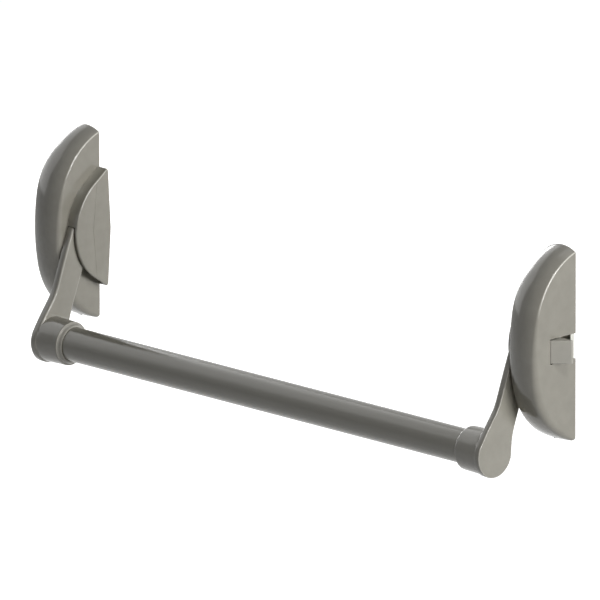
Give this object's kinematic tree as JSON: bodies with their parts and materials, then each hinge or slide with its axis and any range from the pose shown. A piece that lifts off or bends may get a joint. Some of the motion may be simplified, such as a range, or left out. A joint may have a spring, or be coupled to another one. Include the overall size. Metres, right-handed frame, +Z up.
{
  "type": "panic bar",
  "caption": "Push bar for a fire exit door: a round tube on two swinging arms between a latch case and a pivot case.",
  "frame": {"origin": "middle of the latch case's four fixing holes, in the plane of the door face", "axes": "+X runs along the bar towards the latch edge of the door, +Y goes into the door, +Z is up"},
  "size_m": [0.8303, 0.1135, 0.2636],
  "materials": {
    "warm_grey_paint": "satin",
    "bolt_paint": "satin",
    "zinc_plated_steel": "satin",
    "bright_steel": "satin",
    "bronze": "satin",
    "bearing_plastic": "matte",
    "buffer_rubber": "matte"
  },
  "bodies": {
    "door_side": {"latch_case_cover": "warm_grey_paint", "latch_base_plate": "zinc_plated_steel", "latch_frame": "zinc_plated_steel", "bolt_guide": "zinc_plated_steel", "latch_spindle_bush": "bronze", "latch_arm_cheek": "warm_grey_paint", "latch_cheek_bush": "bearing_plastic", "latch_cover_screw": "bright_steel", "latch_cheek_screws": "bright_steel", "latch_frame_rivets": "bright_steel", "crank_post": "bright_steel", "crank_circlip": "bright_steel", "crank_spring": "bright_steel", "pivot_case_cover": "warm_grey_paint", "pivot_base_plate": "zinc_plated_steel", "pivot_frame": "zinc_plated_steel", "pivot_spindle_bush": "bronze", "pivot_inner_bush": "bronze", "pivot_arm_cheek": "warm_grey_paint", "pivot_cheek_bush": "bearing_plastic", "pivot_cover_screw": "bright_steel", "pivot_cheek_screws": "bright_steel", "pivot_frame_rivets": "bright_steel", "return_spring": "bright_steel", "stop_buffers": "buffer_rubber"},
    "push_bar": {"latch_arm": "warm_grey_paint", "push_tube": "warm_grey_paint", "pivot_arm": "warm_grey_paint", "tube_grub_screws": "bright_steel", "latch_spindle": "bright_steel", "pivot_spindle": "bright_steel", "drive_cam": "bright_steel", "cam_circlip": "bright_steel", "return_hub": "bright_steel", "hub_circlip": "bright_steel"},
    "latch_bolt_slide": {"latch_bolt": "bolt_paint", "bolt_tail_plate": "zinc_plated_steel", "bolt_rivets": "bright_steel", "bolt_pin": "bright_steel"},
    "bolt_crank": {"bell_crank": "bright_steel", "crank_drive_pin": "bright_steel"}
  },
  "joints": [
    {"name": "bar_push", "type": "hinge", "parent": "door_side", "child": "push_bar", "pos_m": [-0.3855, -0.03, 0], "axis": [1, 0, 0], "range_deg": [0, 18], "stiffness_Nm_per_rad": 6, "springref_deg": -34.38, "deforming": ["return_spring"]},
    {"name": "bolt_draw", "type": "slide", "parent": "door_side", "child": "latch_bolt_slide", "axis": [-1, 0, 0], "range_m": [0, 0.0155]},
    {"name": "crank_turn", "type": "hinge", "parent": "door_side", "child": "bolt_crank", "pos_m": [0.0013, -0.0585, -0.028], "axis": [0, -1, 0], "range_deg": [0, 29.94], "deforming": ["crank_spring"]}
  ],
  "couplings": [
    {"joint": "bolt_draw", "follows": "bar_push", "m_per_rad": 0.049337},
    {"joint": "crank_turn", "follows": "bar_push", "ratio": 1.6625}
  ]
}
